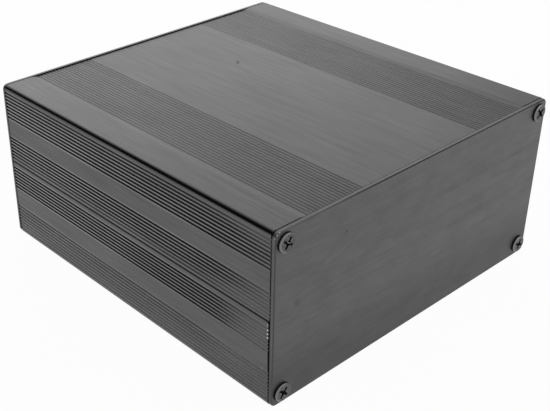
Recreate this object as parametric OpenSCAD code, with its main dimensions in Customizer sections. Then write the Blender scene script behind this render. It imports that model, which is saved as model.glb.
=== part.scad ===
// Extruded aluminium enclosure: two alike half shells, two end panels and eight screws.
// The case lies along Y with its front panel at -Y. The origin is on the table, under its middle.

/* [Case] */
// Width of the closed case
case_w = 145; // [130:1:220]
// Height of the closed case
case_h = 68; // [60:1:120]
// Length of the extruded shells
shell_l = 150; // [60:5:300]
// Thickness of the shell walls
wall_t = 2.4; // [2:0.1:3]
// Radius of the long outer edges
edge_r = 1.8; // [1:0.1:2.2]

/* [Grooves] */
// Distance from one groove to the next
groove_pitch = 1.5; // [1.2:0.1:1.6]
// Width of a groove at its mouth
groove_w = 1; // [0.6:0.1:1.1]
// Width of a groove at its floor
groove_floor_w = 0.2; // [0.1:0.05:0.4]
// Depth of a groove in a side face
groove_depth = 0.4; // [0.2:0.05:0.6]
// Depth of a groove in a broad face
broad_groove_depth = 0.15; // [0.1:0.05:0.5]
// Grooves in each of the two bands on a broad face
broad_grooves = 18; // [4:1:19]
// Plain width between the two bands of a broad face
plain_w = 60.9; // [20:0.1:66]
// How far the middle field of a broad face lies below its outer strips
field_depth = 0.4; // [0.1:0.1:0.6]
// Width of the slope at each edge of the middle field
field_slope_w = 2.4; // [0.4:0.1:3]
// Grooves in the side band that runs beside the broad face
outer_side_grooves = 8; // [2:1:8]
// Distance from the broad face to the first groove of that band
outer_side_start = 2.9; // [2.6:0.1:4]
// Grooves in the side band that runs beside the joint
inner_side_grooves = 7; // [2:1:7]
// Distance from the middle of the case to the first groove of that band
inner_side_start = 2.3; // [1.6:0.1:3]

/* [Joint between the shells] */
// Height by which the joint line is off the middle, up on the left and down on the right
joint_step = 0.5; // [0:0.1:0.8]
// Thickness of the lip outside the joint slot
lip_t = 1.6; // [1.2:0.1:2]
// Width of the joint slot
slot_w = 1.4; // [1.2:0.1:1.8]
// Height of the tongue
tongue_h = 2.2; // [1:0.1:3]
// Clearance round the tongue
tongue_clear = 0.1; // [0.05:0.05:0.2]
// Width of the bevel along both outer edges of the joint line
joint_bevel = 0.3; // [0.05:0.01:0.4]
// Shortfall of the lower shell's front end at the joint line, from a cut that is out of square
end_skew = 0.7; // [0:0.1:1.5]

/* [Board slots] */
// Width of a board slot
board_slot_w = 2; // [1.2:0.1:3]
// Depth of the slots from the inner face of the wall
board_slot_depth = 2.4; // [1.8:0.1:3]
// Thickness of the rail beside a slot
rail_t = 1.2; // [0.8:0.1:1.6]
// Distance from the middle of the case to the first slot
board_slot_start = 5.6; // [5:0.1:7]
// Distance from the first slot to the second
board_slot_pitch = 9.5; // [6:0.1:10]

/* [End panels] */
// Thickness of an end panel
panel_t = 1.5; // [1:0.1:3]
// Corner radius of an end panel
panel_r = 2.2; // [1:0.1:3]
// Chamfer round the outer face of an end panel
panel_chamfer = 0.3; // [0.1:0.05:0.5]
// Gap between an end panel and the shells
panel_gap = 0.2; // [0:0.05:0.5]
// Diameter of a screw hole in an end panel
panel_hole_d = 3.9; // [3.5:0.1:4.5]

/* [Screws] */
// Distance from the outer faces of the case to the screw centres
screw_inset = 4.7; // [4.4:0.1:6]
// Outer radius of a screw channel
channel_r = 3.3; // [2.8:0.1:4]
// Diameter of the bore in a screw channel
channel_bore_d = 2.9; // [2.5:0.1:3.2]
// Width of the slit along a screw channel
channel_slit_w = 1.4; // [0.6:0.1:1.8]
// Diameter of a screw head
head_d = 7.1; // [6:0.1:7.5]
// Height of a screw head
head_h = 1; // [0.9:0.1:2]
// Rounding of a screw head's rim
head_round = 0.45; // [0.3:0.05:0.7]
// Length of a screw under its head
screw_l = 9.5; // [6:0.5:16]
// Clearance between a screw's shank and the bore of its channel
shank_clear = 0.05; // [0.02:0.01:0.1]
// Length of a screw's point
point_l = 1.8; // [0.5:0.1:3]
// Width across the cross recess
cross_w = 4.7; // [3:0.1:5.2]
// Thickness of the cross recess's arms
cross_t = 0.9; // [0.6:0.1:1.2]
// Width of the cross recess round its middle
cross_core_d = 1.9; // [1.4:0.1:2.4]
// Depth of the cross recess
cross_depth = 0.9; // [0.6:0.05:1]

/* [Hidden] */
$fn = 64;

// Overrun of a cut past the surface that it opens
over = 0.5;

field_w = plain_w + 2 * broad_grooves * groove_pitch;
block_t = wall_t + board_slot_depth;
slot_depth = tongue_h + 2 * tongue_clear;
tongue_w = slot_w - 2 * tongue_clear;
shank_d = channel_bore_d - 2 * shank_clear;
panel_y = shell_l / 2 + panel_gap;
screw_x = case_w / 2 - screw_inset;
screw_up = case_h / 2 - screw_inset;

// Turn of each screw's recess, as it stopped when it was driven home
front_turns = [[57, 40], [49, 68]];
rear_turns = [[18, 75], [35, 8]];

// ---- Half shell: one profile, with x across and y up from the middle of the case

module rounded_outline(w, h, r) {
    square([w, h - 2 * r], center = true);
    square([w - 2 * r, h], center = true);
    for (sx = [-1, 1])
        for (sy = [-1, 1])
            translate([sx * (w / 2 - r), sy * (h / 2 - r)])
                circle(r);
}

// The part of the section that belongs to the upper half, with the joint step
module upper_side_of_joint() {
    translate([-case_w, joint_step])
        square([case_w, case_h]);
    translate([0, -joint_step])
        square([case_w, case_h]);
}

module skin_section() {
    intersection() {
        rounded_outline(case_w, case_h, edge_r);
        upper_side_of_joint();
        difference() {
            square([2 * case_w, 2 * case_h], center = true);
            translate([-case_w / 2 + wall_t, -case_h])
                square([case_w - 2 * wall_t, 1.5 * case_h - wall_t]);
        }
    }
}

// Thickened wall behind the joint line; its top edge is the lower rail of the first board slot
module joint_block_section(side) {
    base = -side * joint_step;
    near = side > 0 ? case_w / 2 - block_t : -case_w / 2 + wall_t / 2;
    translate([near, base])
        square([block_t - wall_t / 2, board_slot_start - base]);
}

module rail_section(side, height) {
    near = side > 0 ? case_w / 2 - block_t : -case_w / 2 + wall_t / 2;
    translate([near, height])
        square([block_t - wall_t / 2, rail_t]);
}

module tongue_section() {
    half = tongue_w / 2;
    taper = tongue_w / 4;
    translate([case_w / 2 - lip_t - slot_w / 2, -joint_step])
        polygon([
            [-half, over], [-half, taper - tongue_h], [-half + taper, -tongue_h],
            [half - taper, -tongue_h], [half, taper - tongue_h], [half, over]
        ]);
}

module joint_slot_section() {
    translate([-case_w / 2 + lip_t, joint_step - over])
        square([slot_w, slot_depth + over]);
}

module joint_bevel_section(side) {
    translate([side * case_w / 2, -side * joint_step])
        rotate(45)
            square(joint_bevel * sqrt(2), center = true);
}

module channel_section(side) {
    translate([side * screw_x, screw_up]) {
        circle(channel_r);
        translate([side > 0 ? 0 : wall_t / 2 - screw_inset, 0])
            square(screw_inset - wall_t / 2);
    }
}

module channel_cut_section(side) {
    translate([side * screw_x, screw_up]) {
        circle(d = channel_bore_d);
        rotate(side > 0 ? -135 : -45)
            translate([0, -channel_slit_w / 2])
                square([channel_r + over, channel_slit_w]);
    }
}

// One groove, cut down into a surface that lies along x
module groove_section(depth) {
    half = groove_w / 2;
    polygon([
        [-half, over], [-half, 0], [-groove_floor_w / 2, -depth],
        [groove_floor_w / 2, -depth], [half, 0], [half, over]
    ]);
}

module broad_face_cut() {
    floor_y = case_h / 2 - field_depth;
    half = field_w / 2;
    reach = half + field_slope_w;
    polygon([
        [-half, floor_y], [half, floor_y], [reach, case_h / 2], [reach, case_h / 2 + over],
        [-reach, case_h / 2 + over], [-reach, case_h / 2]
    ]);
    for (side = [-1, 1])
        for (i = [0 : broad_grooves - 1])
            translate([side * (plain_w / 2 + (i + 0.5) * groove_pitch), floor_y])
                groove_section(broad_groove_depth);
}

module side_groove_cut(side) {
    heights = concat(
        [for (i = [0 : inner_side_grooves - 1]) inner_side_start + i * groove_pitch],
        [for (i = [0 : outer_side_grooves - 1]) case_h / 2 - outer_side_start - i * groove_pitch]
    );
    for (height = heights)
        translate([side * case_w / 2, height])
            rotate(-90 * side)
                groove_section(groove_depth);
}

module half_section() {
    difference() {
        union() {
            skin_section();
            tongue_section();
            for (side = [-1, 1]) {
                joint_block_section(side);
                channel_section(side);
                rail_section(side, board_slot_start + board_slot_w);
                rail_section(side, board_slot_start + board_slot_pitch - rail_t);
                rail_section(side, board_slot_start + board_slot_pitch + board_slot_w);
            }
        }
        joint_slot_section();
        broad_face_cut();
        for (side = [-1, 1]) {
            joint_bevel_section(side);
            channel_cut_section(side);
            side_groove_cut(side);
        }
    }
}

module half_shell() {
    rotate([90, 0, 0])
        linear_extrude(shell_l, center = true)
            half_section();
}

module upper_shell() {
    color([0.2, 0.2, 0.21])
        translate([0, 0, case_h / 2])
            half_shell();
}

// Wedge that the skewed cut takes off the front end: nothing at the base, end_skew at the joint
module skew_wedge() {
    top = case_h / 2 + 2 * tongue_h;
    lean = end_skew * top / (case_h / 2);
    rotate([90, 0, 90])
        linear_extrude(case_w + 2, center = true)
            polygon([
                [-shell_l / 2, 0], [lean - shell_l / 2, top],
                [-shell_l / 2 - 1, top], [-shell_l / 2 - 1, 0]
            ]);
}

module lower_shell() {
    color([0.19, 0.19, 0.2])
        difference() {
            translate([0, 0, case_h / 2])
                rotate([0, 180, 0])
                    half_shell();
            if (end_skew > 0)
                skew_wedge();
        }
}

// ---- End panel: a plate with rounded corners and a chamfer round its outer face

module chamfered_section(span) {
    half = span / 2;
    polygon([
        [-half, 0], [half, 0], [half, panel_t - panel_chamfer], [half - panel_chamfer, panel_t],
        [panel_chamfer - half, panel_t], [-half, panel_t - panel_chamfer]
    ]);
}

module corner_post() {
    cylinder(h = panel_t - panel_chamfer, r = panel_r);
    translate([0, 0, panel_t - panel_chamfer])
        cylinder(h = panel_chamfer, r1 = panel_r, r2 = panel_r - panel_chamfer);
}

module panel_plate() {
    rotate([90, 0, 90])
        linear_extrude(case_w - 2 * panel_r, center = true)
            chamfered_section(case_h);
    rotate([90, 0, 180])
        linear_extrude(case_h - 2 * panel_r, center = true)
            chamfered_section(case_w);
    for (sx = [-1, 1])
        for (sy = [-1, 1])
            translate([sx * (case_w / 2 - panel_r), sy * (case_h / 2 - panel_r), 0])
                corner_post();
}

// The plate stands on its end of the case, with its outer face away from the shells
module end_panel() {
    translate([0, -panel_y, case_h / 2])
        rotate([90, 0, 0])
            difference() {
                panel_plate();
                for (sx = [-1, 1])
                    for (sy = [-1, 1])
                        translate([sx * screw_x, sy * screw_up, -over])
                            cylinder(h = panel_t + 2 * over, d = panel_hole_d);
            }
}

module front_panel() {
    color([0.17, 0.17, 0.18])
        end_panel();
}

module rear_panel() {
    color([0.17, 0.17, 0.18])
        rotate([0, 0, 180])
            end_panel();
}

// ---- Screw: pan head with a cross recess, standing on its seat with its shank down

module head_section() {
    reach = head_d / 2 - head_round;
    intersection() {
        square([head_d / 2, head_h]);
        union() {
            square([reach, head_h]);
            square([head_d / 2, head_h - head_round]);
            translate([reach, head_h - head_round])
                circle(head_round);
        }
    }
}

module cross_recess() {
    translate([0, 0, head_h - cross_depth])
        intersection() {
            cylinder(
                h = cross_depth + over, d1 = cross_w / 2,
                d2 = cross_w * (1 + over / cross_depth / 2)
            );
            union() {
                cylinder(h = cross_depth + over, d = cross_core_d);
                for (turn = [0, 90])
                    rotate(turn)
                        translate([-cross_w, -cross_t / 2, 0])
                            cube([2 * cross_w, cross_t, cross_depth + over]);
            }
        }
}

module screw(turn) {
    color([0.06, 0.06, 0.06]) {
        rotate(turn)
            difference() {
                rotate_extrude()
                    head_section();
                cross_recess();
            }
        translate([0, 0, point_l - screw_l])
            cylinder(h = screw_l - point_l, d = shank_d);
        translate([0, 0, -screw_l])
            cylinder(h = point_l, d1 = shank_d / 4, d2 = shank_d);
    }
}

// A screw driven into the front: side is -1 left and 1 right, level is -1 below and 1 above
module front_screw(side, level, turns) {
    turn = turns[level > 0 ? 0 : 1][side > 0 ? 1 : 0];
    translate([side * screw_x, -panel_y - panel_t, case_h / 2 + level * screw_up])
        rotate([90, 0, 0])
            screw(turn);
}

module rear_screw(side, level) {
    rotate([0, 0, 180])
        front_screw(-side, level, rear_turns);
}

upper_shell();
lower_shell();
front_panel();
rear_panel();
front_screw(-1, 1, front_turns);  // screw_front_top_left
front_screw(1, 1, front_turns);  // screw_front_top_right
front_screw(-1, -1, front_turns);  // screw_front_bottom_left
front_screw(1, -1, front_turns);  // screw_front_bottom_right
rear_screw(-1, 1);  // screw_rear_top_left
rear_screw(1, 1);  // screw_rear_top_right
rear_screw(-1, -1);  // screw_rear_bottom_left
rear_screw(1, -1);  // screw_rear_bottom_right
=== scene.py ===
# %% [markdown]
# # Dressing an extruded aluminium enclosure
# The real object is a small instrument case. Two alike half shells are cut from one long
# aluminium extrusion, hooked together along their sides, and closed by two flat end panels
# that eight pan head screws hold. The aluminium is brushed and then dyed black in an anodising
# bath, and the screws are blackened steel. The solids already carry every groove and gap as
# real geometry, so this lesson is about light and finish: where the brush reached, where it
# did not, what that does to a reflection, and where light and shade are painted into the
# finish.

# %% Load the case
import math

import bpy
from mathutils import Matrix, Vector


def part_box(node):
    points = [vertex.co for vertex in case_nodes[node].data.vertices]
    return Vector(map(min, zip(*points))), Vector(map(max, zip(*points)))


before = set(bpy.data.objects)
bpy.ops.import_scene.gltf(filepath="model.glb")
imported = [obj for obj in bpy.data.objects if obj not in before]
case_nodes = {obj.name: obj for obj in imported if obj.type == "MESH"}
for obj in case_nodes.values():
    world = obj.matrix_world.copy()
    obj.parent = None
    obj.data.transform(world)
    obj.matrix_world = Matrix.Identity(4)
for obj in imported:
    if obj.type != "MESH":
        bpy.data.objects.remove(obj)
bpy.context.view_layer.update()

# %% [markdown]
# ## Measures of the case
# Every finish below depends on where a point lies on the case: on a plain strip, in a
# groove, on a rounded edge. The outer measures could be typed in again, but then a change
# of the shape would leave the finish behind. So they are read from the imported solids, and
# kept in millimetres, which are easier to think in than the metres of the scene.

# %% Read the outer measures of the shells
MM = 0.001
_, shell_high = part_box("upper_shell")
half_width = shell_high.x / MM
half_length = shell_high.y / MM
case_height = shell_high.z / MM
mid_height = case_height / 2
print(f"shells {2 * half_width:.1f} x {2 * half_length:.1f} x {case_height:.1f} mm")

# %% [markdown]
# ## Camera
# The case is seen from its front left corner, from a little above. A camera can be placed
# by trial, but it is easier to think as someone who holds one does: where it stands, which
# way it faces, how far it looks down, and which lens it carries. This lens is about one and
# a half times the normal length for the sensor, which keeps the sides from leaning too
# much. A small sideways shift of the lens brings the case to the middle of the frame
# without turning the camera.

# %% Stand the camera at the front left corner
CAMERA_PLACE = (-0.2584, -0.2591, 0.2295)
SENSOR_WIDTH = 36.0
LENS = 66.98
LENS_SHIFT = 0.1186
NEAREST, FARTHEST = 0.01, 50.0

heading = math.radians(41.25)
look_down = math.radians(30.20)
roll = math.radians(-0.78)

camera_data = bpy.data.cameras.new("studio_camera")
camera_data.sensor_width = SENSOR_WIDTH
camera_data.lens = LENS
camera_data.shift_x = LENS_SHIFT
camera_data.clip_start = NEAREST
camera_data.clip_end = FARTHEST
camera = bpy.data.objects.new("studio_camera", camera_data)
camera.location = CAMERA_PLACE
facing = (
    Matrix.Rotation(-heading, 3, "Z")
    @ Matrix.Rotation(math.pi / 2 - look_down, 3, "X")
    @ Matrix.Rotation(roll, 3, "Z")
)
camera.rotation_euler = facing.to_euler()
bpy.context.scene.collection.objects.link(camera)
bpy.context.scene.camera = camera
print("camera at", CAMERA_PLACE, "lens", LENS, "mm")
print("camera turns", [round(math.degrees(turn), 2) for turn in camera.rotation_euler])

# %% [markdown]
# ## A small bench for finishes
# Node trees get long when every node is placed by hand. Three helpers do the laying out:
# one makes a node and fills its sockets, one fills a single socket, and one does a step of
# arithmetic. A socket takes either a number or the output of another node, so the same
# helper serves for both, and a tree reads like a short sum.

# %% Helpers that lay out nodes
def put(tree, kind, settings=None, **sockets):
    """Makes a node, sets its options, and fills its named sockets."""
    made = tree.nodes.new(kind)
    for name, value in (settings or {}).items():
        setattr(made, name, value)
    for name, value in sockets.items():
        fill(tree, made.inputs[name.replace("_", " ")], value)
    return made


def fill(tree, socket, value):
    """Links a node's output to the socket, or writes a number into it."""
    if isinstance(value, bpy.types.NodeSocket):
        tree.links.new(value, socket)
    else:
        socket.default_value = value


def calc(tree, operation, *values):
    """One step of arithmetic on numbers or sockets."""
    made = put(tree, "ShaderNodeMath", {"operation": operation})
    for socket, value in zip(made.inputs, values):
        fill(tree, socket, value)
    return made.outputs[0]


def times(tree, first, *others):
    """Multiplies values. For masks, that leaves the place where all of them are 1."""
    for other in others:
        first = calc(tree, "MULTIPLY", first, other)
    return first


print("bench ready")

# %% [markdown]
# ## Soft masks
# A mask says how far a finish applies at a point, from 0 to 1. It could switch at once, but
# a hard switch looks like paint on a stencil. A ramp that eases in and out looks like wear
# or like the reach of a brush. A ramp is written here as where it starts and where it ends,
# and, if it doesn't run from 0 to 1, the values at the two ends.

# %% Helpers that turn a place into a mask
def step_up(tree, value, start, end, low=0.0, high=1.0):
    """A soft step: low where the value is below start, high where it is above end."""
    made = put(
        tree,
        "ShaderNodeMapRange",
        {"interpolation_type": "SMOOTHSTEP", "clamp": True},
        Value=value,
        From_Min=start,
        From_Max=end,
        To_Min=low,
        To_Max=high,
    )
    return made.outputs["Result"]


def step_down(tree, value, start, end):
    """A soft step the other way: 1 below start and 0 above end."""
    return step_up(tree, value, start, end, 1.0, 0.0)


def close_to(tree, value, centre, inner, outer):
    """1 where the value is within inner of the centre, 0 beyond outer."""
    gap = calc(tree, "ABSOLUTE", calc(tree, "SUBTRACT", value, centre))
    return step_down(tree, gap, inner, outer)


def blend_value(tree, mask, off, on):
    """A value that goes from off to on as the mask goes from 0 to 1."""
    span = calc(tree, "SUBTRACT", on, off)
    return calc(tree, "MULTIPLY_ADD", mask, span, off)


def scale_by(tree, value, mask, factor):
    """The value, times the factor where the mask is 1."""
    return calc(tree, "MULTIPLY", value, blend_value(tree, mask, 1.0, factor))


print("masks ready")

# %% [markdown]
# ## Where a point lies on the case
# The object's own coordinates are in metres with the origin on the table under the middle
# of the case. They could be used as they are, but then each groove would need its own
# numbers. Folding left onto right and top onto bottom leaves one quarter to describe: how
# far across, how far from mid height, and how far along. All distances from here on are in
# millimetres.

# %% Places on the case, in millimetres
def place(tree):
    """The point in mm, and its distances across, along and from mid height, all folded."""
    where = put(tree, "ShaderNodeTexCoord").outputs["Object"]
    in_mm = put(
        tree, "ShaderNodeVectorMath", {"operation": "SCALE"}, Vector=where, Scale=1 / MM
    )
    parts = put(tree, "ShaderNodeSeparateXYZ", Vector=in_mm.outputs["Vector"]).outputs
    above = calc(tree, "SUBTRACT", parts["Z"], mid_height)
    return {
        "point": in_mm.outputs["Vector"],
        "x": parts["X"],
        "y": parts["Y"],
        "z": parts["Z"],
        "above": above,
        "across": calc(tree, "ABSOLUTE", parts["X"]),
        "along": calc(tree, "ABSOLUTE", parts["Y"]),
        "from_middle": calc(tree, "ABSOLUTE", above),
    }


print("the middle of the case is", round(mid_height, 2), "mm above the table")

# %% [markdown]
# ## The brushed and anodised extrusion
# The extrusion leaves the die with faint lines along its length, then a wire brush runs the
# same way and turns the flat faces into fine parallel scratches. The bath makes a clear layer
# over the metal and dyes it. So a brushed face is a mid grey with streaks along the case. The
# side grooves and the rounded edges, which the brush cannot touch, are kept smooth, and they
# are painted nearly black: painted shade in the grooves, and a painted dark reflection on the
# edges. Each kind of place could have a material of its own, but then the shells would have to
# be cut up. One material covers them whole, because they are one surface, and masks made from
# the point's place mix its looks.
#
# ### Groove bands
# The grooves lie in bands, and all of them repeat at one pitch. Each groove could be
# described alone, but a value that runs to and fro once a pitch gives the distance from
# the nearest groove's centre for a whole band at once. On a side, a narrow band of seven
# lies near the joint and one of eight near the edge. On a broad face, each band has
# eighteen.

# %% Where the grooves lie
GROOVE_PITCH = 1.5
BAND_MARGIN = GROOVE_PITCH * 0.66
SIDE_INNER_BAND = (2.3, 11.3)
SIDE_OUTER_BAND = (20.6, 31.1)
BROAD_BAND = (31.2, 56.7)


def band(tree, value, first, last):
    """Where a groove band runs, and how far each point in it is from a groove's centre."""
    inside = times(
        tree,
        calc(tree, "GREATER_THAN", value, first - BAND_MARGIN),
        calc(tree, "LESS_THAN", value, last + BAND_MARGIN),
    )
    shifted = calc(tree, "SUBTRACT", value, first)
    return inside, calc(tree, "PINGPONG", shifted, GROOVE_PITCH / 2)


for first, last in (SIDE_INNER_BAND, SIDE_OUTER_BAND, BROAD_BAND):
    print("band of", round((last - first) / GROOVE_PITCH) + 1, "grooves from", first)

# %% [markdown]
# ### Side faces
# The side grooves are deep and narrow, and their floors are painted dark as painted shade. The
# crests between them are narrow too, and they are painted bright as a painted highlight. The
# depth below the side face tells the two apart, and it follows the real cut exactly.

# %% Masks for the side faces
EDGE_ROUND = 1.8
GROOVE_DEPTH = (0.03, 0.15)
CREST_FROM_GROOVE = (0.36, 0.55)


def side_masks(tree, at):
    """The side face as a whole, its grooves, and the crests between them, which take a painted
    highlight.
    """
    depth = calc(tree, "SUBTRACT", half_width, at["across"])
    on_side = calc(tree, "LESS_THAN", at["from_middle"], mid_height - EDGE_ROUND)
    groove = times(tree, step_up(tree, depth, *GROOVE_DEPTH), on_side)
    off_groove = 0.0
    for first, last in (SIDE_INNER_BAND, SIDE_OUTER_BAND):
        inside, off_centre = band(tree, at["from_middle"], first, last)
        off_groove = calc(tree, "MAXIMUM", off_groove, times(tree, inside, off_centre))
    band_end = SIDE_OUTER_BAND[1] + GROOVE_PITCH / 2
    crest = times(
        tree,
        step_up(tree, off_groove, *CREST_FROM_GROOVE),
        calc(tree, "LESS_THAN", depth, GROOVE_DEPTH[0]),
        calc(tree, "LESS_THAN", at["from_middle"], band_end),
    )
    return on_side, groove, crest


print("side face up to", round(mid_height - EDGE_ROUND, 2), "mm from mid height")

# %% [markdown]
# ### Where the painted groove shade fades
# Towards the lower front of the case, the painted shade of the side grooves fades, as painted
# light for the light that reaches into them there, until they are nearly as pale as the faces.
# One pattern could be painted over the side, but a few ramps multiplied together do the same
# and can be read one by one: one along the case, the others by height. Each height ramp gives
# where it starts and ends, and how much of the groove's painted shade is kept at the two ends.

# %% How much of a groove's darkness is kept
FRONT_GROOVE_FADE = (38.0, 79.0)
KEPT_AT_FRONT = (8.0, 62.0, 0.0, 0.62)
KEPT_AT_FOOT = (2.0, 12.0, 0.44, 0.62)
FOOT_ENDS = (13.0, 22.0)
KEPT_AT_TOP = (case_height - 9.5, case_height - 1.5, 1.0, 0.6)
KEPT_OVER_JOINT = (mid_height - 0.5, mid_height + 8.0, 0.55, 1.0)
KEPT_BELOW_TOP_BAND = (mid_height + 16.0, mid_height + 19.0, 0.87, 1.0)


def groove_shade_fade(tree, at):
    """How much of a side groove's painted shade is left, from 1 down to almost nothing."""
    height = at["z"]
    frontward = calc(tree, "MULTIPLY", at["y"], -1.0)
    kept_at_front = step_up(tree, height, *KEPT_AT_FRONT)
    kept_at_foot = step_up(tree, height, *KEPT_AT_FOOT)
    kept_over_joint = step_up(tree, height, *KEPT_OVER_JOINT)
    on_upper_shell = calc(tree, "GREATER_THAN", height, mid_height)
    return times(
        tree,
        blend_value(tree, step_up(tree, frontward, *FRONT_GROOVE_FADE), 1.0, kept_at_front),
        blend_value(tree, step_up(tree, height, *FOOT_ENDS), kept_at_foot, 1.0),
        step_up(tree, height, *KEPT_AT_TOP),
        blend_value(tree, on_upper_shell, 1.0, kept_over_joint),
        step_up(tree, height, *KEPT_BELOW_TOP_BAND),
    )


# The painted groove shade starts to fade this far behind the front end.
print("wear starts", round(half_length - FRONT_GROOVE_FADE[0], 2), "mm behind the front end")

# %% [markdown]
# ### Broad faces
# The top and the base have shallow grooves, painted only a shade darker than the plain parts,
# as painted shade. The two bands lie in a wide field that is lowered a little, and the field
# meets the raised strips along the edges in a gentle slope. Distance across the case finds all
# of these, because they run straight from end to end.

# %% Masks for the broad faces
BROAD_DEPTH = 0.8
GROOVE_SHOULDER = (0.15, 0.6)
FIELD_EDGE = 57.45
FIELD_SLOPE = 2.4
SLOPE_FADE = FIELD_SLOPE * 0.7


def broad_masks(tree, at):
    """The broad face, its groove bands, the grooves in them, and the field's slope."""
    on_broad = calc(tree, "GREATER_THAN", at["from_middle"], mid_height - BROAD_DEPTH)
    inside, off_centre = band(tree, at["across"], *BROAD_BAND)
    in_band = times(tree, inside, on_broad)
    groove = times(tree, in_band, step_down(tree, off_centre, *GROOVE_SHOULDER))
    half_slope = FIELD_SLOPE / 2
    near_slope = close_to(tree, at["across"], FIELD_EDGE + half_slope, half_slope, SLOPE_FADE)
    return on_broad, in_band, groove, times(tree, on_broad, near_slope)


print("the field slopes from", FIELD_EDGE, "mm across, over", FIELD_SLOPE, "mm")

# %% [markdown]
# ### Rounded long edges
# The long edges are rounded, and the brush passes them by, so they stay smooth. They are
# painted nearly black, a painted dark reflection on top of the one that the dark corner of the
# room gives them. The rounding starts at the same distance in from both faces, and a point on
# it has passed both starts.

# %% Mask for the rounded edges
EDGE_UP = (0.35, 1.0)
EDGE_ACROSS = (0.0, 1.0)


def rounded_edge(tree, at):
    """The rounded long edges, measured from the line where the rounding starts."""
    start_across = calc(tree, "SUBTRACT", at["across"], half_width - EDGE_ROUND)
    start_up = calc(tree, "SUBTRACT", at["from_middle"], mid_height - EDGE_ROUND)
    return times(
        tree,
        step_up(tree, start_up, *EDGE_UP),
        step_up(tree, start_across, *EDGE_ACROSS),
    )


print("edges rounded over", EDGE_ROUND, "mm")

# %% [markdown]
# ### Joint line and sawn ends
# The joint line and the sawn ends behind the panels are narrow gaps that no light gets
# into. Leaving them to the shadows would nearly do, but a black tone inside keeps them
# crisp. The joint is stepped up on one side and down on the other, and the lower shell's
# front end is cut a little out of square, so the masks follow both.

# %% Mask for the gaps
JOINT_STEP = 0.5
JOINT_RISE = (-1.0, 1.0, JOINT_STEP, -JOINT_STEP)
JOINT_LINE = (0.30, 0.42)
JOINT_DEPTH = 1.0
END_SKEW = 0.7
SAWN_END = (0.08, 0.25)


def gaps(tree, at):
    """The joint line between the shells, and the sawn ends behind the panels."""
    joint_height = step_up(tree, at["x"], *JOINT_RISE)
    from_joint = calc(tree, "SUBTRACT", at["above"], joint_height)
    at_joint = times(
        tree,
        close_to(tree, from_joint, 0.0, *JOINT_LINE),
        calc(tree, "GREATER_THAN", at["across"], half_width - JOINT_DEPTH),
    )
    lower_front = times(
        tree,
        calc(tree, "LESS_THAN", at["above"], joint_height),
        calc(tree, "LESS_THAN", at["y"], 0.0),
    )
    skew = times(tree, calc(tree, "MULTIPLY", at["z"], END_SKEW / mid_height), lower_front)
    from_end = calc(tree, "SUBTRACT", half_length, calc(tree, "ADD", at["along"], skew))
    return calc(tree, "MAXIMUM", at_joint, step_down(tree, from_end, *SAWN_END))


print("joint line within", JOINT_LINE[1], "mm, end out of square by", END_SKEW, "mm")

# %% [markdown]
# ### Brush marks
# A brushed face is made of lines of many widths that all run one way. Ready made scratches
# in an image would repeat and blur. Noise that is drawn out along the brushing never
# repeats, and costs little. It is given by its turns per mm on the three axes, its detail,
# where in the noise it starts, and how rough it is.

# %% Streaks of noise
STREAK_ROUGHNESS = 0.55
START_SLANT = (1.0, 1.7, 0.6)


def streaks(tree, point, scale, detail, start, roughness=STREAK_ROUGHNESS):
    """Noise drawn out along the brushing; scale is in turns per mm on each axis."""
    stretched = put(
        tree,
        "ShaderNodeMapping",
        Vector=point,
        Location=tuple(start * share for share in START_SLANT),
        Scale=scale,
    )
    made = put(
        tree,
        "ShaderNodeTexNoise",
        Vector=stretched.outputs["Vector"],
        Scale=1.0,
        Detail=detail,
        Roughness=roughness,
    )
    return made.outputs["Fac"]


def spread(tree, noise, amount):
    """Turns noise round a half into a factor round 1 that swings by the amount."""
    return calc(tree, "MULTIPLY_ADD", noise, amount, 1.0 - amount / 2)


print("streaks start along", START_SLANT)

# %% [markdown]
# ### Layers of brushing
# Three layers of streaks are multiplied: fine scratches, broader lines from the die or the
# brush, and slow clouds of dye. Each line of the table is one layer, with how far it swings
# the tone as its last value. The finest layer is handed back as well, because the same
# scratches that colour a face also roughen and raise it.

# %% Brushing along the shells
SHELL_STREAKS = (
    ((4.0, 0.03, 4.0), 2.0, 3.0, 0.9),
    ((0.8, 0.04, 0.8), 3.0, 11.0, 0.65),
    ((0.06, 0.03, 0.06), 3.0, 5.0, 0.3),
)


def brushing(tree, point, layers):
    """The finest layer of streaks, and all the layers multiplied into one factor."""
    noises, factors = [], []
    for scale, detail, start, swing in layers:
        noises.append(streaks(tree, point, scale, detail, start))
        factors.append(spread(tree, noises[-1], swing))
    return noises[0], times(tree, *factors)


print("shell streaks:", len(SHELL_STREAKS), "layers")

# %% [markdown]
# ### From masks to tones
# The streaks start as a factor round 1, and each mask scales it where it applies. On the
# sides, the crests get a painted highlight, the more so towards the back, and the grooves
# where the painted shade fades are painted lighter with them. On the broad faces, the front is
# painted a little darker as painted shade, and the grooves are painted darker as painted
# shade, less in the right band than in the left, while the right strip and the right band are
# painted a little darker too.

# %% Tone of the brushed faces
FACE_TONE = 0.108
CREST_HIGHLIGHT_GAIN = (-40.0, 50.0, 1.75, 2.5)
FADED_GROOVE_GAIN = 1.6
BROAD_GAIN = 0.955
FRONT_SHADE_REACH = (-60.0, 30.0)
FRONT_SHADE_GAIN = 0.93
RIGHT_STRIP = (FIELD_EDGE, 61.0)
RIGHT_STRIP_SHADE_GAIN = 0.92
RIGHT_HALF = (-5.0, 5.0)
LEFT_GROOVE_SHADE_GAIN = (-50.0, 60.0, 0.58, 0.48)
RIGHT_GROOVE_SHADE_GAIN = 0.89
RIGHT_BAND_SHADE_GAIN = 0.96


def paint_side_highlights(tree, at, tone, crest, faded_groove):
    """Painted highlight on the side crests, and the grooves where the painted shade fades
    painted lighter, both brighter than the plain strips.
    """
    tone = scale_by(tree, tone, crest, step_up(tree, at["y"], *CREST_HIGHLIGHT_GAIN))
    return scale_by(tree, tone, faded_groove, FADED_GROOVE_GAIN)


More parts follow.
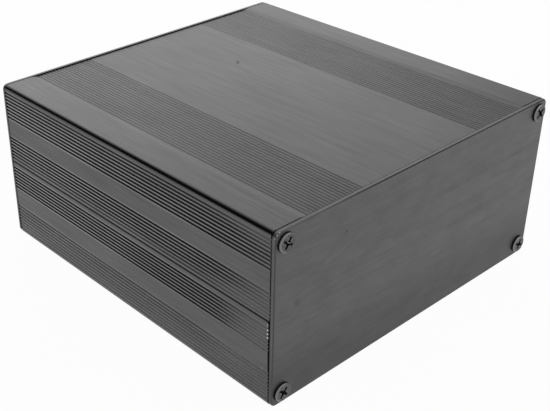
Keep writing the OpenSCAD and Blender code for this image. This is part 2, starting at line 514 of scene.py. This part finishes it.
def paint_broad_face_shade(tree, at, tone, on_broad, in_band, groove):
    """The top and the base, a little darker, with painted shade on the front, the right strip,
    the right band and the grooves.
    """
    tone = scale_by(tree, tone, on_broad, BROAD_GAIN)
    front_shade = times(tree, on_broad, step_down(tree, at["y"], *FRONT_SHADE_REACH))
    tone = scale_by(tree, tone, front_shade, FRONT_SHADE_GAIN)
    tone = scale_by(tree, tone, step_up(tree, at["x"], *RIGHT_STRIP), RIGHT_STRIP_SHADE_GAIN)
    rightward = step_up(tree, at["x"], *RIGHT_HALF)
    left_gain = step_up(tree, at["y"], *LEFT_GROOVE_SHADE_GAIN)
    groove_gain = blend_value(tree, rightward, left_gain, RIGHT_GROOVE_SHADE_GAIN)
    tone = scale_by(tree, tone, groove, groove_gain)
    return scale_by(tree, tone, times(tree, in_band, rightward), RIGHT_BAND_SHADE_GAIN)


front_crest_highlight, back_crest_highlight = (round(FACE_TONE * gain, 3) for gain in CREST_HIGHLIGHT_GAIN[2:])
print("a crest is", front_crest_highlight, "at the front and", back_crest_highlight, "at the back")

# %% [markdown]
# ### Small marks on the shells
# A real case carries a few accidents, and they do more for it than one more layer of noise:
# a dark speck on top, a pale chip low on the side, and crests nicked to bare metal at the
# front end of the joint. They could be lines and dots in a noise, but then they would fall
# anywhere. Each is a small ball round a place in mm instead, and the surface takes a new
# tone where it passes through the ball. A mark gives its places, and the radii within
# which it is full and beyond which it is gone.

# %% Specks, chips and nicked crests
BARE_METAL = 0.8
RUBBED_METAL = 0.5
CHIP_TONE = 0.22
SPECK_GAIN = 0.34
FIELD_TOP = case_height - 0.4
NICK_ALONG = -74.25
GRAINS = ((11.0, 29.4), (11.7, 30.1), (12.4, 30.9))
SPECK = ([(across, along, FIELD_TOP) for across, along in GRAINS], 0.45, 0.95)
NICKS = ([(-half_width, NICK_ALONG, up) for up in (30.95, 29.45, 27.95)], 0.2, 0.42)
RUBS = ([(-half_width, NICK_ALONG, up) for up in (33.2, 32.5)], 0.1, 0.4)
CHIP = ([(-half_width, -72.0, 14.3)], 0.1, 0.5)


def spots(tree, point, places, inner, outer):
    """Small round marks: 1 within inner of a place, 0 beyond outer, in mm."""
    marks = 0.0
    for spot in places:
        away = put(tree, "ShaderNodeVectorMath", {"operation": "DISTANCE"}, Vector=point)
        away.inputs[1].default_value = spot
        mark = step_down(tree, away.outputs["Value"], inner, outer)
        marks = calc(tree, "MAXIMUM", marks, mark)
    return marks


def mark_shells(tree, point, shade):
    """The shells' tone with the speck, the nicks, the rubbed crests and the chip."""
    shade = scale_by(tree, shade, spots(tree, point, *SPECK), SPECK_GAIN)
    shade = blend_value(tree, spots(tree, point, *NICKS), shade, BARE_METAL)
    shade = blend_value(tree, spots(tree, point, *RUBS), shade, RUBBED_METAL)
    return blend_value(tree, spots(tree, point, *CHIP), shade, CHIP_TONE)


print("marks on the shells:", 1 + len(NICKS[0]) + len(RUBS[0]) + len(CHIP[0]))

# %% [markdown]
# ### How the metal lies
# Where its painted shade fades, a groove is also made to catch the light almost as the flat
# face does, and so does the gentle slope beside the field. The solids could be changed for
# that, but the groove is still there in the metal. Turning the direction of the surface part
# of the way towards the flat face's is enough.

# %% Level the faded grooves and the slopes
SLOPE_LEVELLED = 0.6


def levelled(tree, flat, amount):
    """The surface's own direction, turned towards a flat one by the amount."""
    own = put(tree, "ShaderNodeNewGeometry").outputs["Normal"]
    away = put(tree, "ShaderNodeVectorMath", {"operation": "SUBTRACT"})
    tree.links.new(flat, away.inputs[0])
    tree.links.new(own, away.inputs[1])
    part = put(
        tree,
        "ShaderNodeVectorMath",
        {"operation": "SCALE"},
        Vector=away.outputs["Vector"],
        Scale=amount,
    )
    joined = put(tree, "ShaderNodeVectorMath", {"operation": "ADD"})
    tree.links.new(own, joined.inputs[0])
    tree.links.new(part.outputs["Vector"], joined.inputs[1])
    unit = put(
        tree,
        "ShaderNodeVectorMath",
        {"operation": "NORMALIZE"},
        Vector=joined.outputs["Vector"],
    )
    return unit.outputs["Vector"]


def shell_lie(tree, at, on_side, on_broad, faded_groove, slope):
    """The direction of the shells' surface, levelled where the groove shade fades and where
    the field slopes.
    """
    side_way = calc(tree, "MULTIPLY", calc(tree, "SIGN", at["x"]), on_side)
    broad_way = calc(tree, "MULTIPLY", calc(tree, "SIGN", at["above"]), on_broad)
    flat_way = put(tree, "ShaderNodeCombineXYZ", X=side_way, Y=0.0, Z=broad_way)
    evened = calc(tree, "MAXIMUM", faded_groove, calc(tree, "MULTIPLY", slope, SLOPE_LEVELLED))
    return levelled(tree, flat_way.outputs["Vector"], evened)


print("slopes levelled by", SLOPE_LEVELLED)

# %% [markdown]
# ### One metal shader for every finish
# Every finish here ends in the same way: one tone becomes a grey, and one metal shader
# takes it with a roughness and a bump. The dyed layer could be built as a coat over bare
# metal, but it is thin and has no gloss of its own. So its black goes into the metal's own
# colour, and the metal part is high but not full, because the layer is not metal.

# %% Helpers that start and end a finish
ANODISED_METAL = 0.85


def new_finish(name):
    """An empty material with its node tree."""
    finish = bpy.data.materials.new(name)
    finish.use_nodes = True
    finish.node_tree.nodes.clear()
    return finish, finish.node_tree


def shader_out(tree, shade, **sockets):
    """A metal shader in the grey of the shade, joined to the material's output."""
    grey = put(tree, "ShaderNodeCombineColor", Red=shade, Green=shade, Blue=shade)
    skin = put(tree, "ShaderNodeBsdfPrincipled", Base_Color=grey.outputs["Color"], **sockets)
    output = put(tree, "ShaderNodeOutputMaterial")
    tree.links.new(skin.outputs["BSDF"], output.inputs["Surface"])


print("a finish is", round(ANODISED_METAL * 100), "% metal where it is anodised")

# %% [markdown]
# ### Shade and roughness of the shells
# The brushed tone lies over the whole shell first, and then the painted shade of the grooves,
# the painted dark reflection of the edges and the painted shadow of the gaps cover it one
# after the other. Brushed places scatter a reflection and untouched ones keep it sharp, so the
# same masks set the roughness.

# %% Shade and roughness of the shells
GROOVE_SHADE_TONE = 0.04
EDGE_REFLECTION_TONE = 0.016
GAP_TONE = 0.006
SHELL_ROUGH, SHELL_ROUGH_SWING = 0.35, 0.14
UNTOUCHED_ROUGH = 0.22
GAP_ROUGH = 0.6


def shell_shade(tree, tone, painted_groove_shade, on_edge, in_gap):
    """The brushed tone, covered by the painted shade of the grooves, the painted dark
    reflection of the edges and the painted shadow of the gaps.
    """
    shade = calc(tree, "MULTIPLY", tone, FACE_TONE)
    shade = blend_value(tree, painted_groove_shade, shade, GROOVE_SHADE_TONE)
    shade = blend_value(tree, on_edge, shade, EDGE_REFLECTION_TONE)
    return blend_value(tree, in_gap, shade, GAP_TONE)


def shell_rough(tree, fine, untouched, in_gap):
    """Rough where it is brushed, smooth where it is untouched, dull in the gaps."""
    rough = calc(tree, "MULTIPLY_ADD", fine, SHELL_ROUGH_SWING, SHELL_ROUGH)
    rough = blend_value(tree, untouched, rough, UNTOUCHED_ROUGH)
    return blend_value(tree, in_gap, rough, GAP_ROUGH)


print("tones: face", FACE_TONE, "groove", GROOVE_SHADE_TONE, "edge", EDGE_REFLECTION_TONE, "gap", GAP_TONE)

# %% [markdown]
# ### The finish of the half shells
# Now the parts come together: the masks, the tone, the marks, the roughness and the way
# the metal lies. The scratches that colour a face also raise it through the bump, so that
# light and tone agree. Untouched places get no bump.

# %% Finish for the half shells
SHELL_BUMP = 0.4
SCRATCH_DEPTH = 0.02 * MM


def make_extrusion_finish():
    """The one finish of both half shells."""
    finish, tree = new_finish("brushed_black_extrusion")
    at = place(tree)
    on_side, side_groove, crest = side_masks(tree, at)
    on_broad, in_band, broad_groove, slope = broad_masks(tree, at)
    kept = groove_shade_fade(tree, at)
    painted_groove_shade = times(tree, side_groove, kept)
    faded_groove = times(tree, side_groove, calc(tree, "SUBTRACT", 1.0, kept))
    on_edge = rounded_edge(tree, at)
    in_gap = gaps(tree, at)
    untouched = calc(tree, "MAXIMUM", painted_groove_shade, on_edge)

    fine, tone = brushing(tree, at["point"], SHELL_STREAKS)
    tone = paint_side_highlights(tree, at, tone, times(tree, crest, kept), faded_groove)
    tone = paint_broad_face_shade(tree, at, tone, on_broad, in_band, broad_groove)
    shade = shell_shade(tree, tone, painted_groove_shade, on_edge, in_gap)
    shade = mark_shells(tree, at["point"], shade)
    rough = shell_rough(tree, fine, untouched, in_gap)
    bump = put(
        tree,
        "ShaderNodeBump",
        Strength=SHELL_BUMP,
        Distance=SCRATCH_DEPTH,
        Height=calc(tree, "MULTIPLY", fine, calc(tree, "SUBTRACT", 1.0, untouched)),
        Normal=shell_lie(tree, at, on_side, on_broad, faded_groove, slope),
    )
    shader_out(
        tree, shade, Metallic=ANODISED_METAL, Roughness=rough, Normal=bump.outputs["Normal"]
    )
    return finish


extrusion_finish = make_extrusion_finish()
print("made", extrusion_finish.name, "nodes", len(extrusion_finish.node_tree.nodes))

# %% [markdown]
# ## The brushed end panels
# The end panels are cut from sheet and brushed the long way of the panel, so their streaks run
# across the front of the case. They could share the shells' finish with the axes turned, but
# they have no grooves and other marks, so a short finish of their own is clearer. Here and
# there the brush was lifted late, and two darker passes show on the right. The foot, which
# stands nearest the table, is painted a little darker too, as painted shade.

# %% Streaks and passes of the brush on a panel
PANEL_TONE = 0.100
PANEL_STREAKS = (
    ((0.12, 4.0, 4.0), 2.0, 8.0, 0.5),
    ((0.04, 0.5, 0.5), 3.0, 2.0, 0.4),
    ((0.11, 0.11, 0.18), 3.0, 9.0, 0.4),
)
PASS_REACH = (-10.0, 30.0)
PASS_HEIGHTS = (50.0, 34.0)
PASS_WIDTH = (0.3, 2.4)
PASS_GAIN = 0.90
PANEL_FOOT = (6.0, 30.0)
PANEL_FOOT_SHADE_GAIN = 0.67


def panel_shade(tree, at, tone):
    """The panel's tone with the darker passes of the brush and painted shade on the foot."""
    rightward = step_up(tree, at["x"], *PASS_REACH)
    for height in PASS_HEIGHTS:
        passed = times(tree, rightward, close_to(tree, at["z"], height, *PASS_WIDTH))
        tone = scale_by(tree, tone, passed, PASS_GAIN)
    tone = scale_by(tree, tone, step_down(tree, at["z"], *PANEL_FOOT), PANEL_FOOT_SHADE_GAIN)
    return calc(tree, "MULTIPLY", tone, PANEL_TONE)


print("passes at", PASS_HEIGHTS, "mm, foot up to", PANEL_FOOT[1], "mm")

# %% [markdown]
# ### Rim and chamfer of a panel
# The rim of a panel is milled, and it is painted brighter as a painted highlight, more so
# towards the right. The small chamfer between rim and face and the edge on the shell's side
# are painted dark as painted shadow, and draw a fine line round the panel. The distance in
# from the panel's outline finds the first two, and the distance along the case finds the last.

# %% Tones at the edge of a panel
panel_low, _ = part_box("front_panel")
panel_face = -panel_low.y / MM
CHAMFER = 0.3
FACE_FROM = panel_face - CHAMFER + 0.05
RIM_DEPTH = (0.02, 0.08)
RIM_HIGHLIGHT_GAIN = (-70.0, 20.0, 1.1, 1.2)
CHAMFER_LINE = (CHAMFER + 0.12, CHAMFER + 0.32)
CHAMFER_SHADOW_TONE = (-64.0, -20.0, 0.07, 0.02)
INNER_EDGE = (half_length + 0.35, half_length + 0.55)
INNER_EDGE_SHADOW_TONE = 0.018


def panel_edges(tree, at, shade):
    """The panel's shade with its painted rim highlight, and painted shadow on the chamfer and
    on the inner edge.
    """
    edge_in = calc(
        tree,
        "MINIMUM",
        calc(tree, "SUBTRACT", half_width, at["across"]),
        calc(tree, "SUBTRACT", mid_height, at["from_middle"]),
    )
    panel_rim_highlight = step_down(tree, edge_in, *RIM_DEPTH)
    shade = scale_by(tree, shade, panel_rim_highlight, step_up(tree, at["x"], *RIM_HIGHLIGHT_GAIN))
    on_face = calc(tree, "GREATER_THAN", at["along"], FACE_FROM)
    chamfer_shadow = times(tree, on_face, step_down(tree, edge_in, *CHAMFER_LINE))
    shade = blend_value(tree, chamfer_shadow, shade, step_up(tree, at["x"], *CHAMFER_SHADOW_TONE))
    inner = step_down(tree, at["along"], *INNER_EDGE)
    return blend_value(tree, inner, shade, INNER_EDGE_SHADOW_TONE)


print("panel face at", round(panel_face, 2), "mm from the middle of the case")

# %% [markdown]
# ### Marks on the panels
# A panel lies in trays and hands more than a shell does, so it shows a dull spot, a pin
# prick and two short scratches side by side. Its upper left corner keeps a few bright burrs
# from the cutter. The spots are made as on the shells. A scratch is a thin line that is
# followed for a few millimetres, given by its height at its start and by its slant.

# %% Dull spot, pin prick, scratches and burrs
DULL_SPOT = ([(-62.0, -panel_face, 38.0)], 0.3, 2.0)
PIN_PRICK = ([(-39.7, -panel_face, 55.5)], 0.2, 0.6)
BURRS = ([(-71.6, -76.6, 67.3), (-72.3, -76.3, 66.2), (-70.6, -76.5, 67.8)], 0.1, 0.35)
DULL_GAIN, PRICK_GAIN, SCRATCH_GAIN = 0.78, 0.5, 1.35
BURR_TONE = 0.32
SCRATCHES = ((47.0, 0.18), (48.2, 0.12))
SCRATCH_START = -50.0
SCRATCH_MIDDLE = -44.5
SCRATCH_REACH = (4.0, 6.0)
SCRATCH_WIDTH = (0.06, 0.22)


def mark_panel(tree, at, shade):
    """The panel's shade with its few marks of use."""
    point = at["point"]
    shade = scale_by(tree, shade, spots(tree, point, *DULL_SPOT), DULL_GAIN)
    shade = scale_by(tree, shade, spots(tree, point, *PIN_PRICK), PRICK_GAIN)
    for start, slant in SCRATCHES:
        height = calc(tree, "SUBTRACT", at["z"], start)
        path = calc(tree, "MULTIPLY_ADD", at["x"], -slant, height)
        scratch = times(
            tree,
            close_to(tree, path, -SCRATCH_START * slant, *SCRATCH_WIDTH),
            close_to(tree, at["x"], SCRATCH_MIDDLE, *SCRATCH_REACH),
        )
        shade = scale_by(tree, shade, scratch, SCRATCH_GAIN)
    return blend_value(tree, spots(tree, point, *BURRS), shade, BURR_TONE)


print("panel marks:", 2 + len(SCRATCHES) + len(BURRS[0]))

# %% [markdown]
# ### The finish of the end panels
# The parts go together as for the shells, but in a shorter chain, because a panel is flat
# all over. Its rear twin takes the same finish. The spots have a place along the case too,
# so they stay on the front panel, while the passes and the scratches show on both.

# %% Finish for the end panels
PANEL_ROUGH, PANEL_ROUGH_SWING = 0.37, 0.12
PANEL_BUMP = 0.35


def make_panel_finish():
    """The finish of both end panels."""
    finish, tree = new_finish("brushed_black_panel")
    at = place(tree)
    fine, tone = brushing(tree, at["point"], PANEL_STREAKS)
    shade = panel_shade(tree, at, tone)
    shade = panel_edges(tree, at, shade)
    shade = mark_panel(tree, at, shade)
    rough = calc(tree, "MULTIPLY_ADD", fine, PANEL_ROUGH_SWING, PANEL_ROUGH)
    bump = put(
        tree, "ShaderNodeBump", Strength=PANEL_BUMP, Distance=SCRATCH_DEPTH, Height=fine
    )
    shader_out(
        tree, shade, Metallic=ANODISED_METAL, Roughness=rough, Normal=bump.outputs["Normal"]
    )
    return finish


panel_finish = make_panel_finish()
print("made", panel_finish.name, "nodes", len(panel_finish.node_tree.nodes))

# %% [markdown]
# ## The screws
# Low pan head screws in blackened steel. The rounded rim of the head is painted bright as a
# painted highlight, more so on one side, while the upright wall below it and the cross recess
# are painted full black as painted shade. The flat crown is mottled with wear. All eight heads
# sit alike on the case once left is folded onto right and top onto bottom, so one finish
# measured from a screw's own middle serves them all.

# %% Where a point lies on a screw head
screw_low, screw_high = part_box("screw_front_top_right")
screw_across = (screw_low.x + screw_high.x) / 2 / MM
screw_up = (screw_low.z + screw_high.z) / 2 / MM - mid_height
head_radius = (screw_high.x - screw_low.x) / 2 / MM
head_top = -screw_low.y / MM


def on_head(tree, at):
    """How far right of the head's middle a point lies, how far out, and how far in all."""
    off_x = calc(tree, "SUBTRACT", at["across"], screw_across)
    off_z = calc(tree, "SUBTRACT", at["from_middle"], screw_up)
    square_sum = calc(
        tree, "ADD", calc(tree, "MULTIPLY", off_x, off_x), calc(tree, "MULTIPLY", off_z, off_z)
    )
    side = calc(tree, "MULTIPLY", off_x, calc(tree, "SIGN", at["x"]))
    return side, off_z, calc(tree, "SQRT", square_sum)


print(f"heads at {screw_across:.2f} across, {screw_up:.2f} from the middle of the height")

# %% [markdown]
# ### Crown, rim, wall and recess
# Each part of the head is a ring or a disc round the screw's middle, so the distance from
# the middle and the height above the panel are enough to tell them apart. The mottling of
# the crown is the same noise as the streaks, but drawn out in no direction. Its four values
# are turns per mm, detail, where the noise starts, and how rough it is.

# %% Tones of a screw head
MOTTLE = ((1.0, 1.0, 1.0), 3.0, 4.0, 0.6)
MOTTLE_SWING, CROWN_TONE = 2.4, 0.09
RIM_RING = (head_radius - 0.75, head_radius - 0.35)
RIM_HIGHLIGHT_SIDE = (-0.7, 0.5)
RIM_TONE, RIM_HIGHLIGHT_TONE = 0.09, 0.19
wall_top = panel_face + 0.6
WALL_HEIGHT = (wall_top - 0.05, wall_top + 0.1)
WALL_SHADE_TONE = 0.012
RECESS_REACH = (2.45, 2.55)
RECESS_DEPTH = (head_top - 0.12, head_top - 0.03)
RECESS_SHADE_TONE = 0.004


def head_shade(tree, at, side, radius, mottle):
    """The head's shade with its painted rim highlight, and where its wall and its recess are
    painted black as painted shade.
    """
    crown = calc(tree, "MULTIPLY", spread(tree, mottle, MOTTLE_SWING), CROWN_TONE)
    highlit_side = step_down(tree, calc(tree, "DIVIDE", side, radius), *RIM_HIGHLIGHT_SIDE)
    rim_tone = blend_value(tree, highlit_side, RIM_TONE, RIM_HIGHLIGHT_TONE)
    shade = blend_value(tree, step_up(tree, radius, *RIM_RING), crown, rim_tone)
    shaded_wall = step_down(tree, at["along"], *WALL_HEIGHT)
    shade = blend_value(tree, shaded_wall, shade, WALL_SHADE_TONE)
    recess = times(
        tree,
        step_down(tree, radius, *RECESS_REACH),
        step_down(tree, at["along"], *RECESS_DEPTH),
    )
    return blend_value(tree, recess, shade, RECESS_SHADE_TONE), shaded_wall, recess


print("rim from", round(RIM_RING[0], 2), "mm, recess within", RECESS_REACH[0], "mm")

# %% [markdown]
# ### A painted glint in the recess
# On the left of the case one arm of the recess in the upper crosses is painted bright, a
# painted glint. It is a short slanted line, kept inside the recess.

# %% The painted glint in the upper left crosses
GLINT_MIDDLE, GLINT_LENGTH = 0.95, (0.35, 0.6)
GLINT_SLANT, GLINT_OFFSET, GLINT_WIDTH = 0.67, 0.08, (0.05, 0.22)
UPPER_SCREWS = (2.0, 3.0)
GLINT_TONE = 0.5


def recess_glint(tree, at, side, off_z, recess):
    """Where a painted glint lies in the recess of the upper left screws."""
    slanted = calc(tree, "MULTIPLY_ADD", side, GLINT_SLANT, off_z)
    return times(
        tree,
        recess,
        close_to(tree, side, GLINT_MIDDLE, *GLINT_LENGTH),
        close_to(tree, slanted, GLINT_OFFSET, *GLINT_WIDTH),
        close_to(tree, at["z"], mid_height + screw_up, *UPPER_SCREWS),
        calc(tree, "LESS_THAN", at["x"], 0.0),
    )


# The painted glint lies this far right of the middle of the cross.
print("scar", GLINT_MIDDLE, "mm right of the middle of the cross")

# %% [markdown]
# ### The finish of the screws
# The mottling does three jobs at once: it changes the tone of the crown, its roughness, and
# through the bump its height. Steel under a thin blackening shows more bare metal than the
# dyed aluminium does, so its metal part is a little higher.

# %% Finish for the screws
SCREW_METAL = 0.9
SCREW_ROUGH, SCREW_ROUGH_SWING = 0.25, 0.25
HIDDEN_ROUGH = 0.6
SCREW_BUMP, MOTTLE_DEPTH = 0.4, 0.04 * MM


def make_screw_finish():
    """The finish of all eight screws."""
    finish, tree = new_finish("blackened_screw_steel")
    at = place(tree)
    side, off_z, radius = on_head(tree, at)
    mottle = streaks(tree, at["point"], *MOTTLE)
    shade, shaded_wall, recess = head_shade(tree, at, side, radius, mottle)
    shade = blend_value(tree, recess_glint(tree, at, side, off_z, recess), shade, GLINT_TONE)
    hidden = calc(tree, "MAXIMUM", shaded_wall, recess)
    rough = calc(tree, "MULTIPLY_ADD", mottle, SCREW_ROUGH_SWING, SCREW_ROUGH)
    rough = blend_value(tree, hidden, rough, HIDDEN_ROUGH)
    bump = put(
        tree, "ShaderNodeBump", Strength=SCREW_BUMP, Distance=MOTTLE_DEPTH, Height=mottle
    )
    shader_out(
        tree, shade, Metallic=SCREW_METAL, Roughness=rough, Normal=bump.outputs["Normal"]
    )
    return finish


screw_finish = make_screw_finish()
print("made", screw_finish.name, "nodes", len(screw_finish.node_tree.nodes))

# %% [markdown]
# ## Dressing the solids
# Each solid keeps its own mesh, and only its material changes. The two shells share one
# finish, so the joint between them shows as a line and not as a change of colour.

# %% Put each finish on its solids
for name, solid in case_nodes.items():
    if name.endswith("_shell"):
        finish = extrusion_finish
    elif name.endswith("_panel"):
        finish = panel_finish
    else:
        finish = screw_finish
    solid.data.materials.clear()
    solid.data.materials.append(finish)
    print(name, "->", finish.name)

# %% [markdown]
# ## The white table
# A product like this is shown on a white sheet that has no visible edge. Lighting a sheet
# until it turns white would flood the case with light too. So the sheet glows only for the
# rays that look at it, straight, in a mirror or through glass, and stays plain matte paper
# for the rays that light the scene. A small share of the paper is kept in what is seen,
# because that share carries the soft shadow under the case.

# %% Paper that glows when it is looked at
PAPER_WHITE = (0.9, 0.9, 0.9, 1)
GLOW_WHITE = (1, 1, 1, 1)
GLOW_SHARE = 0.965


def looked_at(path):
    """1 for a ray that looks straight, in a mirror or through glass; 0 for one that lights."""
    tree = path.id_data
    rays = path.outputs
    mirrored = calc(tree, "MAXIMUM", rays["Is Glossy Ray"], rays["Is Transmission Ray"])
    return calc(tree, "MAXIMUM", rays["Is Camera Ray"], mirrored)


def white_paper():
    """Matte paper that glows white for the rays that look at it."""
    paper, tree = new_finish("white_table")
    path = put(tree, "ShaderNodeLightPath")
    matte = put(tree, "ShaderNodeBsdfDiffuse", Color=PAPER_WHITE)
    glow = put(tree, "ShaderNodeEmission", Color=GLOW_WHITE, Strength=1.0)
    mixed = put(tree, "ShaderNodeMixShader")
    tree.links.new(calc(tree, "MULTIPLY", looked_at(path), GLOW_SHARE), mixed.inputs[0])
    tree.links.new(matte.outputs[0], mixed.inputs[1])
    tree.links.new(glow.outputs[0], mixed.inputs[2])
    output = put(tree, "ShaderNodeOutputMaterial")
    tree.links.new(mixed.outputs[0], output.inputs["Surface"])
    return paper


print("the paper glows for", GLOW_SHARE, "of what is seen")

# %% [markdown]
# ### The sheet itself
# The table is one large square, wide enough that its edges never show. It lies a hair below
# the case, so that the two don't flicker through each other.

# %% White table
TABLE_REACH = 6.0
TABLE_DROP = 0.0003


def make_table():
    """A wide square sheet just below the case."""
    reach = TABLE_REACH
    mesh = bpy.data.meshes.new("floor")
    mesh.from_pydata(
        [(-reach, -reach, 0), (reach, -reach, 0), (reach, reach, 0), (-reach, reach, 0)],
        [],
        [(0, 1, 2, 3)],
    )
    mesh.materials.append(white_paper())
    table = bpy.data.objects.new("floor", mesh)
    table.location.z = -TABLE_DROP
    bpy.context.scene.collection.objects.link(table)


make_table()
print("table", 2 * TABLE_REACH, "m wide,", TABLE_DROP / MM, "mm below the case")

# %% [markdown]
# ## The room
# Brushed black metal is mostly a soft mirror, so what stands round it matters more than the
# lamps do. An even pale room would make every face the same grey. Here one corner of the
# room, high up behind the case on the left, is left dark, and the rounded top edge that
# mirrors it turns nearly black. That one dark line is what tells the top from the side. As
# with the table, the room is white where it is looked at and dimmer where it lights.

# %% Room with one dark corner
ROOM_LIGHT = 0.6
ROOM_WHITE = 1.0
DARK_WAY = (-0.5, 0.70, 0.5)
DARK_CORNER = (0.80, 0.95)
DARK_LIGHT = 0.03


def make_room():
    """A pale room that lights the case, white where it is looked at, with a dark corner."""
    room = bpy.data.worlds.new("white_room")
    room.use_nodes = True
    tree = room.node_tree
    tree.nodes.clear()
    toward = put(tree, "ShaderNodeTexCoord").outputs["Generated"]
    along = put(tree, "ShaderNodeVectorMath", {"operation": "DOT_PRODUCT"}, Vector=toward)
    along.inputs[1].default_value = Vector(DARK_WAY).normalized()
    corner = step_up(tree, along.outputs["Value"], *DARK_CORNER)
    path = put(tree, "ShaderNodeLightPath")
    unseen = calc(tree, "SUBTRACT", 1.0, path.outputs["Is Camera Ray"])
    light = blend_value(tree, looked_at(path), ROOM_LIGHT, ROOM_WHITE)
    light = blend_value(tree, times(tree, corner, unseen), light, DARK_LIGHT)
    backdrop = put(tree, "ShaderNodeBackground", Strength=light)
    output = put(tree, "ShaderNodeOutputWorld")
    tree.links.new(backdrop.outputs[0], output.inputs["Surface"])
    bpy.context.scene.world = room


make_room()
bpy.context.scene.view_settings.view_transform = "Standard"
print("room ready, light", ROOM_LIGHT, "and", DARK_LIGHT, "in the dark corner")

# %% [markdown]
# ## The lamps
# Three softboxes stand a metre away. Two behind the case rake over its top and make it the
# palest face, and one in front on the right lights the end panel. The left side has no lamp
# of its own and takes the light of the room, so it stays a shade darker and its bright
# crests stand out. The power of each is worked out from its area, so that its face has the
# brightness written here and a colour on the case comes out about as it was chosen.

# %% Three softboxes
SOFTBOX_SIDE = 0.7
AIM = Vector((0.0, 0.0, 0.04))
SOFTBOXES = (
    ("back_right_softbox", 42, 14, 1.05),
    ("back_softbox", 0, 35, 1.72),
    ("front_right_softbox", 140, 14, 2.35),
)


def softbox(name, bearing, elevation, brightness):
    """A soft lamp a metre from the case; bearing is clockwise from the back of the case."""
    turn, lift = math.radians(bearing), math.radians(elevation)
    away = Vector(
        (math.sin(turn) * math.cos(lift), math.cos(turn) * math.cos(lift), math.sin(lift))
    )
    lamp_data = bpy.data.lights.new(name, "AREA")
    lamp_data.size = SOFTBOX_SIDE
    lamp_data.energy = math.pi * SOFTBOX_SIDE * SOFTBOX_SIDE * brightness
    lamp = bpy.data.objects.new(name, lamp_data)
    lamp.location = AIM + away
    lamp.rotation_euler = (-away).to_track_quat("-Z", "Y").to_euler()
    lamp.visible_camera = False
    bpy.context.scene.collection.objects.link(lamp)
    print(name, "power", round(lamp_data.energy, 2), "W")


for lamp_plan in SOFTBOXES:
    softbox(*lamp_plan)
